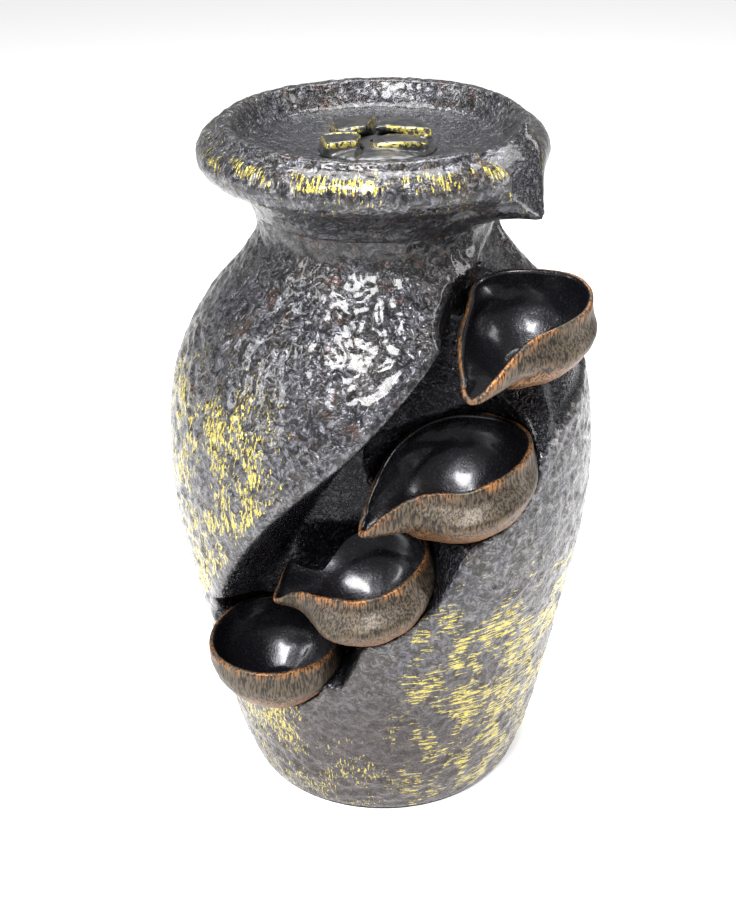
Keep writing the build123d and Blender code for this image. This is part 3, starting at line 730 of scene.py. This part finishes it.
def make_cup(cup):
    around = 240
    rows, height = cup_layers(cup, around)
    points = np.concatenate([np.concatenate([flat, level[:, None]], axis=1) for flat, level, _ in rows])
    within = np.repeat([flag for _, _, flag in rows], around)
    below_rim = points[:, 2] - np.tile(height, len(rows))
    column = np.arange(around)
    after = (column + 1) % around
    quads = []
    for row in range(len(rows) - 1):
        here, above = row * around, (row + 1) * around
        quads.append(np.stack([here + column, here + after, above + after, above + column], axis=1))
    # Close both bottoms with rings that shrink to a point.
    for start, flip in ((0, True), ((len(rows) - 1) * around, False)):
        edge = points[start:start + around]
        centre = edge.mean(axis=0)
        ring_at = start
        for shrink in (0.66, 0.33, 0.02):
            fresh = len(points)
            sag = [0, 0, 0.3 * (1 - shrink)]
            points = np.concatenate([points, centre + (edge - centre) * [shrink, shrink, 1] - sag])
            within = np.concatenate([within, within[start:start + around]])
            below_rim = np.concatenate([below_rim, np.full(around, -cup.depth)])
            cell = [ring_at + column, ring_at + after, fresh + after, fresh + column]
            quads.append(np.stack(cell[::-1] if flip else cell, axis=1))
            ring_at = fresh
    local = points.copy()
    points = cup.world(points)
    quads = facing_out(points, np.concatenate(quads))
    out = normals_of(points, quads)
    swirl = np.arctan2(local[:, 1], local[:, 0]) * 26
    unrolled = np.stack([swirl, local[:, 2], rho_of(local)], axis=1)
    grain = fractal(unrolled, (14, 5, 9), 2) * 0.3 + fractal(points, 10, 2) * 0.3
    points = points + out * (grain * np.where(within > 0.5, 0.6, 1.0))[:, None]
    thing = new_object(cup.name + "_skin", points, quads)
    add_value(thing, "inside", within)
    add_value(thing, "edge", smooth(1 + below_rim / 4.5))
    add_value(thing, "lift", np.clip(local[:, 2] / cup.depth + 1, 0, 1))
    return thing


# ---- materials ----
class Paint:
    """A material, with short calls for the nodes it is wired from."""

    def __init__(self, name):
        self.material = bpy.data.materials.new(name)
        self.material.use_nodes = True
        self.tree = self.material.node_tree
        self.shader = self.tree.nodes["Principled BSDF"]
        self.place = self.tree.nodes.new("ShaderNodeTexCoord").outputs["Object"]

    def link(self, source, target):
        self.tree.links.new(source, target)

    def put(self, socket, value):
        """Links a socket, or sets a value."""
        if isinstance(value, bpy.types.NodeSocket):
            self.link(value, socket)
        else:
            socket.default_value = value

    def math(self, operation, a, b=0.0, c=0.0, clamp=False):
        node = self.tree.nodes.new("ShaderNodeMath")
        node.operation, node.use_clamp = operation, clamp
        for socket, value in zip(node.inputs, (a, b, c)):
            self.put(socket, value)
        return node.outputs[0]

    def steps(self, value, low, high):
        """0 below low, 1 above high, smooth between."""
        node = self.tree.nodes.new("ShaderNodeMapRange")
        node.interpolation_type = "SMOOTHSTEP"
        self.put(node.inputs["Value"], value)
        self.put(node.inputs["From Min"], low)
        self.put(node.inputs["From Max"], high)
        return node.outputs["Result"]

    def noise(self, size, detail=3.0, rough=0.55, vector=None, stretch=(1, 1, 1), twist=0.0):
        """Noise whose lumps are size millimetres apart."""
        mapping = self.tree.nodes.new("ShaderNodeMapping")
        self.link(vector or self.place, mapping.inputs["Vector"])
        mapping.inputs["Scale"].default_value = [1 / (size * MM * s) for s in stretch]
        node = self.tree.nodes.new("ShaderNodeTexNoise")
        node.inputs["Scale"].default_value = 1.0
        node.inputs["Detail"].default_value = detail
        node.inputs["Roughness"].default_value = rough
        node.inputs["Distortion"].default_value = twist
        self.link(mapping.outputs[0], node.inputs["Vector"])
        return node.outputs["Fac"]

    def mix(self, share, a, b):
        node = self.tree.nodes.new("ShaderNodeMix")
        node.data_type = "RGBA"
        self.put(node.inputs[0], share)
        self.put(node.inputs[6], a if isinstance(a, bpy.types.NodeSocket) else (*a, 1))
        self.put(node.inputs[7], b if isinstance(b, bpy.types.NodeSocket) else (*b, 1))
        return node.outputs[2]

    def attribute(self, name):
        node = self.tree.nodes.new("ShaderNodeAttribute")
        node.attribute_name = name
        return node.outputs["Fac"]

    def cylinder(self):
        """Position as arc length round the jar, height and radius, all in metres; and the bearing."""
        parts = self.tree.nodes.new("ShaderNodeSeparateXYZ")
        self.link(self.place, parts.inputs[0])
        x, y, z = parts.outputs
        bearing = self.math("ARCTAN2", x, self.math("MULTIPLY", y, -1.0))
        radius = self.math("SQRT", self.math("ADD", self.math("POWER", x, 2.0), self.math("POWER", y, 2.0)))
        combine = self.tree.nodes.new("ShaderNodeCombineXYZ")
        self.link(self.math("MULTIPLY", bearing, 0.085), combine.inputs[0])
        self.link(z, combine.inputs[1])
        self.link(radius, combine.inputs[2])
        return combine.outputs[0], bearing, z, radius

    def bump(self, *layers):
        """Layers of (height socket, depth in millimetres), one on another."""
        normal = None
        for height, depth in layers:
            node = self.tree.nodes.new("ShaderNodeBump")
            node.inputs["Distance"].default_value = depth * MM
            node.inputs["Strength"].default_value = 1.0
            self.link(height, node.inputs["Height"])
            if normal is not None:
                self.link(normal, node.inputs["Normal"])
            normal = node.outputs[0]
        self.link(normal, self.shader.inputs["Normal"])

    def set(self, **values):
        for name, value in values.items():
            self.put(self.shader.inputs[name.replace("_", " ")], value)


def between(paint, value, low, high, soft):
    """1 where value lies between two limits."""
    return paint.math(
        "MULTIPLY", paint.steps(value, low - soft, low + soft),
        paint.math("SUBTRACT", 1.0, paint.steps(value, high - soft, high + soft)),
    )


def below(paint, value, low, high):
    """1 where value is under low, 0 over high."""
    return paint.math("SUBTRACT", 1.0, paint.steps(value, low, high))


GOLD = (0.46, 0.385, 0.085)
COPPER = (0.30, 0.125, 0.035)
PAINTED_SHADE = (0.013, 0.012, 0.013)


def pewter_tone(paint, height, fine, ridge, swell, dish):
    """Mottled grey with painted highlights on pale swells and dark winding lines, browner and darker towards
    the foot (partly the finish's brown, partly painted shade), with painted shade at the neck and under the
    dish's rim.
    """
    lumps = paint.noise(13, 2.0, 0.5)
    tone = paint.mix(paint.steps(lumps, 0.35, 0.65), (0.021, 0.021, 0.026), (0.054, 0.047, 0.038))
    # Painted highlight: the swells are tinted pale bluish grey, standing in for glints of light on the
    # relief.
    painted_glint = paint.math("ADD", paint.math("MULTIPLY", fine, 0.9), 0.3)
    relief = paint.math("MULTIPLY", paint.steps(swell, 0.38, 0.60), painted_glint)
    pit = paint.mix(0.7, tone, (0.007, 0.007, 0.009))
    tone = paint.mix(paint.steps(swell, 0.30, 0.5), pit, tone)
    tone = paint.mix(paint.math("MULTIPLY", relief, 0.55), tone, (0.24, 0.24, 0.27))
    tone = paint.mix(paint.math("MULTIPLY", ridge, 0.75), tone, (0.012, 0.011, 0.011))
    if dish:
        # Painted shade on the dish's underside, where the rim's overhang shades it.
        under = paint.math("MULTIPLY", below(paint, height, 0.280, 0.288), 0.6)
        tone = paint.mix(under, tone, PAINTED_SHADE)
    else:
        # Browner and darker towards the foot: partly the finish's own brown, partly painted shade on the
        # lower body.
        foot = paint.math("MULTIPLY", below(paint, height, 0.02, 0.16), 0.75)
        tone = paint.mix(foot, tone, (0.030, 0.017, 0.015))
        # Painted shade on the neck, where the rim's overhang shades it.
        neck = paint.math("MULTIPLY", paint.steps(height, 0.238, 0.262), 0.6)
        tone = paint.mix(neck, tone, PAINTED_SHADE)
    rust = paint.math("MULTIPLY", paint.steps(paint.noise(6.5, 2.0, 0.5, twist=0.8), 0.60, 0.70), 0.55)
    if not dish:
        rust = paint.math("MULTIPLY", rust, paint.steps(height, 0.12, 0.2))
    return paint.mix(rust, tone, (0.060, 0.026, 0.016))


def dish_brushing(paint):
    """Streaks, and where they are kept: round the front of the rim and on the spout's crest."""
    around, bearing, height, radius = paint.cylinder()
    streaks = paint.noise(1.0, 2.0, 0.6, around, (1.0, 4.5, 4.5))
    patches = paint.noise(16, 2.0, 0.5)
    front = paint.steps(paint.math("COSINE", bearing), -0.1, 0.6)
    roll = between(paint, height, 0.2935, 0.2992, 0.0014)
    zone = paint.math("MULTIPLY", roll, paint.steps(radius, 0.064, 0.068))
    zone = paint.math("MULTIPLY", zone, front)
    zone = paint.math("MAXIMUM", zone, paint.math("MULTIPLY", paint.steps(radius, 0.058, 0.072), 0.35))
    keep = paint.math("MULTIPLY", zone, paint.steps(patches, 0.22, 0.5))
    crest = paint.math("MULTIPLY", paint.attribute("crest"), paint.steps(patches, 0.4, 0.6))
    keep = paint.math("MAXIMUM", keep, crest)
    clear = paint.math("SUBTRACT", 1.0, paint.attribute("channel"))
    return streaks, paint.math("MULTIPLY", keep, clear)


def jar_brushing(paint):
    """Streaks, and where they are kept: level at the lower right, and upright elsewhere."""
    around, bearing, height, _ = paint.cylinder()
    upright = paint.noise(0.9, 2.0, 0.6, around, (1.0, 5.0, 1.0))
    level = paint.noise(0.8, 2.0, 0.6, around, (12.0, 1.0, 1.0), 0.3)
    level_zone = paint.math("MULTIPLY", paint.steps(bearing, -0.25, 0.25), below(paint, height, 0.10, 0.17))
    streaks = paint.mix(level_zone, upright, level)
    patches = paint.noise(14, 3.0, 0.6, around, (1, 1.2, 1))
    left_side = between(paint, bearing, -1.6, -0.45, 0.2)
    left_zone = paint.math("MULTIPLY", left_side, between(paint, height, 0.03, 0.215, 0.02))
    foot_zone = paint.math("MULTIPLY", below(paint, height, 0.03, 0.07), 0.7)
    back_zone = paint.math("MULTIPLY", paint.steps(paint.math("ABSOLUTE", bearing), 1.5, 2.2), 0.55)
    low_zones = paint.math("MAXIMUM", level_zone, foot_zone)
    keep = paint.math("MAXIMUM", low_zones, paint.math("MAXIMUM", left_zone, back_zone))
    keep = paint.math("MULTIPLY", keep, paint.steps(patches, 0.32, 0.60))
    keep = paint.math("MULTIPLY", keep, paint.math("SUBTRACT", 1.0, paint.attribute("niche")))
    band = paint.math("MULTIPLY", paint.attribute("band"), 0.8)
    return streaks, paint.math("MULTIPLY", keep, paint.math("SUBTRACT", 1.0, band))


def pewter(name, dish=False):
    """Dark pewter paint under gloss, with yellow-gold dry brushing and rust in the pits."""
    paint = Paint(name)
    _, _, height, radius = paint.cylinder()
    worms = paint.noise(5.2, 2.0, 0.5, twist=1.6)
    ridge = paint.math("ABSOLUTE", paint.math("SUBTRACT", worms, 0.5))
    ridge = below(paint, ridge, 0.0, 0.075)
    swell = paint.noise(3.4, 2.0, 0.5, twist=1.0)
    fine = paint.noise(1.2, 3.0, 0.6)
    tone = pewter_tone(paint, height, fine, ridge, swell, dish)
    streaks, keep = dish_brushing(paint) if dish else jar_brushing(paint)
    threshold = paint.math("SUBTRACT", 0.74, paint.math("MULTIPLY", keep, 0.262))
    brushed = paint.steps(paint.math("SUBTRACT", streaks, threshold), 0.0, 0.035)
    brushed = paint.math("MULTIPLY", brushed, paint.steps(keep, 0.02, 0.2))
    tone = paint.mix(brushed, tone, GOLD)
    rough = paint.math("ADD", 0.24, paint.math("MULTIPLY", fine, 0.2))
    if dish:
        # Painted shade in the spout's channel: near-black laid where the channel attribute is set.
        channel = paint.math("MULTIPLY", paint.attribute("channel"), 0.85)
        tone = paint.mix(channel, tone, (0.012, 0.012, 0.015))
        floor = paint.math("MULTIPLY", below(paint, radius, 0.045, 0.06), 0.65)
        tone = paint.mix(floor, tone, (0.026, 0.028, 0.034))
        paint.shader.inputs["Coat Weight"].default_value = 0.45
    else:
        niche = paint.attribute("niche")
        tone = paint.mix(niche, tone, (0.010, 0.010, 0.013))
        rough = paint.math("SUBTRACT", rough, paint.math("MULTIPLY", niche, 0.18))
        paint.set(Coat_Weight=paint.math("SUBTRACT", 0.45, paint.math("MULTIPLY", niche, 0.33)))
    paint.set(Base_Color=tone, Metallic=0.75, Roughness=rough)
    paint.shader.inputs["Coat Roughness"].default_value = 0.12
    paint.bump((paint.math("MULTIPLY", ridge, -1.0), 0.45), (swell, 1.6), (fine, 0.2))
    return paint.material


def cup_paint():
    """Near-black gloss inside; brown outside with fine brush lines and copper along the rim."""
    paint = Paint("cup_paint")
    inside = paint.attribute("inside")
    edge = paint.attribute("edge")
    lift = paint.attribute("lift")
    lines = paint.noise(0.8, 2.0, 0.6, None, (1.0, 1.0, 6.0), 0.3)
    patches = paint.noise(9, 2.0, 0.5)
    fine = paint.noise(1.1, 3.0, 0.6)
    tone = paint.mix(paint.steps(lines, 0.38, 0.62), (0.016, 0.012, 0.009), (0.088, 0.068, 0.046))
    rim_copper = paint.math("MULTIPLY", edge, paint.steps(patches, 0.35, 0.6))
    low_copper = paint.math("MULTIPLY", below(paint, lift, 0.3, 0.7), 0.8)
    copper = paint.math("MAXIMUM", rim_copper, low_copper)
    copper = paint.math("MULTIPLY", copper, paint.steps(lines, 0.42, 0.58))
    tone = paint.mix(copper, tone, COPPER)
    dark = paint.mix(paint.steps(fine, 0.55, 0.75), (0.009, 0.009, 0.012), (0.035, 0.035, 0.042))
    tone = paint.mix(inside, tone, dark)
    rough = paint.math("ADD", paint.math("MULTIPLY", fine, 0.16), 0.20)
    rough = paint.math("ADD", rough, paint.math("MULTIPLY", paint.math("SUBTRACT", 1.0, inside), 0.22))
    coat = paint.math("ADD", paint.math("MULTIPLY", inside, 0.42), 0.05)
    paint.set(Base_Color=tone, Metallic=0.6, Roughness=rough, Coat_Weight=coat)
    paint.shader.inputs["Coat Roughness"].default_value = 0.15
    paint.bump((lines, 0.12), (fine, 0.10))
    return paint.material


def bubbler_paint():
    """Petals as the dish, with gold along their upper edges."""
    paint = Paint("bubbler_paint")
    fine = paint.noise(1.0, 3.0, 0.6)
    streaks = paint.noise(1.4, 2.0, 0.6)
    lumps = paint.steps(paint.noise(5, 2.0, 0.5), 0.4, 0.6)
    tone = paint.mix(lumps, (0.022, 0.023, 0.027), (0.055, 0.053, 0.052))
    gold = paint.math("MULTIPLY", paint.attribute("worn"), paint.steps(streaks, 0.44, 0.54))
    tone = paint.mix(gold, tone, GOLD)
    rough = paint.math("ADD", 0.25, paint.math("MULTIPLY", fine, 0.2))
    paint.set(Base_Color=tone, Metallic=0.7, Roughness=rough)
    paint.shader.inputs["Coat Weight"].default_value = 0.45
    paint.shader.inputs["Coat Roughness"].default_value = 0.12
    paint.bump((fine, 0.15))
    return paint.material


def plain(name, colour, rough, metal=0.0, grain=0.6, depth=0.05, coat=0.0, see_through=0.0):
    """Moulded plastic, rubber or metal, with a fine uneven skin."""
    paint = Paint(name)
    fine = paint.noise(grain, 3.0, 0.6)
    broad = paint.noise(8.0, 2.0, 0.5)
    light = tuple(min(1.0, c * 1.25 + 0.004) for c in colour)
    tone = paint.mix(paint.steps(broad, 0.35, 0.65), colour, light)
    uneven = paint.math("ADD", rough - 0.06, paint.math("MULTIPLY", fine, 0.12))
    paint.set(Base_Color=tone, Metallic=metal, Roughness=uneven)
    paint.shader.inputs["Coat Weight"].default_value = coat
    paint.shader.inputs["Transmission Weight"].default_value = see_through
    paint.bump((fine, depth))
    return paint.material


# ---- the pieces in place of the CAD's, and paint for the CAD's own ----
def stand_for(thing, node, body, material):
    thing.data.materials.clear()
    thing.data.materials.append(material)
    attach(thing, body)
    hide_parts(node)


stand_for(make_jar(), "jar_shell", "fountain", pewter("jar_paint"))
stand_for(make_dish(), "top_dish", "fountain", pewter("dish_paint", dish=True))
stand_for(make_bubbler(), "bubbler_cap", "cap", bubbler_paint())
glaze = cup_paint()
for cup in cups:
    stand_for(make_cup(cup), cup.name, "fountain", glaze)

carried = {
    plain("door_paint", (0.07, 0.068, 0.066), 0.4, 0.6, 2.0, 0.3, 0.4): ["service_door"],
    plain("panel_black", (0.02, 0.02, 0.02), 0.55): ["base_plate"],
    plain("foam_black", (0.025, 0.025, 0.025), 0.95, grain=0.5, depth=0.2): ["base_pad"],
    plain("rubber_black", (0.018, 0.018, 0.018), 0.75): [
        "base_seal", "door_gasket", "cord_grommet", "nozzle_gasket", "chamber_oring", "axle_bushes",
        "suction_cups", "cord_gland",
    ],
    plain("pump_black", (0.016, 0.016, 0.018), 0.45): [
        "pump_housing", "chamber_cover", "flow_dial", "intake_strainer",
    ],
    plain("fitting_black", (0.02, 0.02, 0.02), 0.4): ["bubbler_nozzle", "nozzle_nut"],
    plain("vinyl", (0.75, 0.78, 0.76), 0.2, see_through=0.8, depth=0.01): ["riser_tube"],
    plain("ferrite", (0.06, 0.06, 0.06), 0.6, 0.3): ["rotor_magnet"],
    plain("rotor_white", (0.72, 0.72, 0.70), 0.45): ["impeller"],
    plain("ceramic_rod", (0.8, 0.79, 0.75), 0.15, depth=0.005): ["axle"],
    plain("stainless", (0.55, 0.55, 0.56), 0.3, 1.0, depth=0.01): ["dial_screw", "tube_clamps"],
}
for material, names in carried.items():
    for name in names:
        nodes[name].data.materials.clear()
        nodes[name].data.materials.append(material)
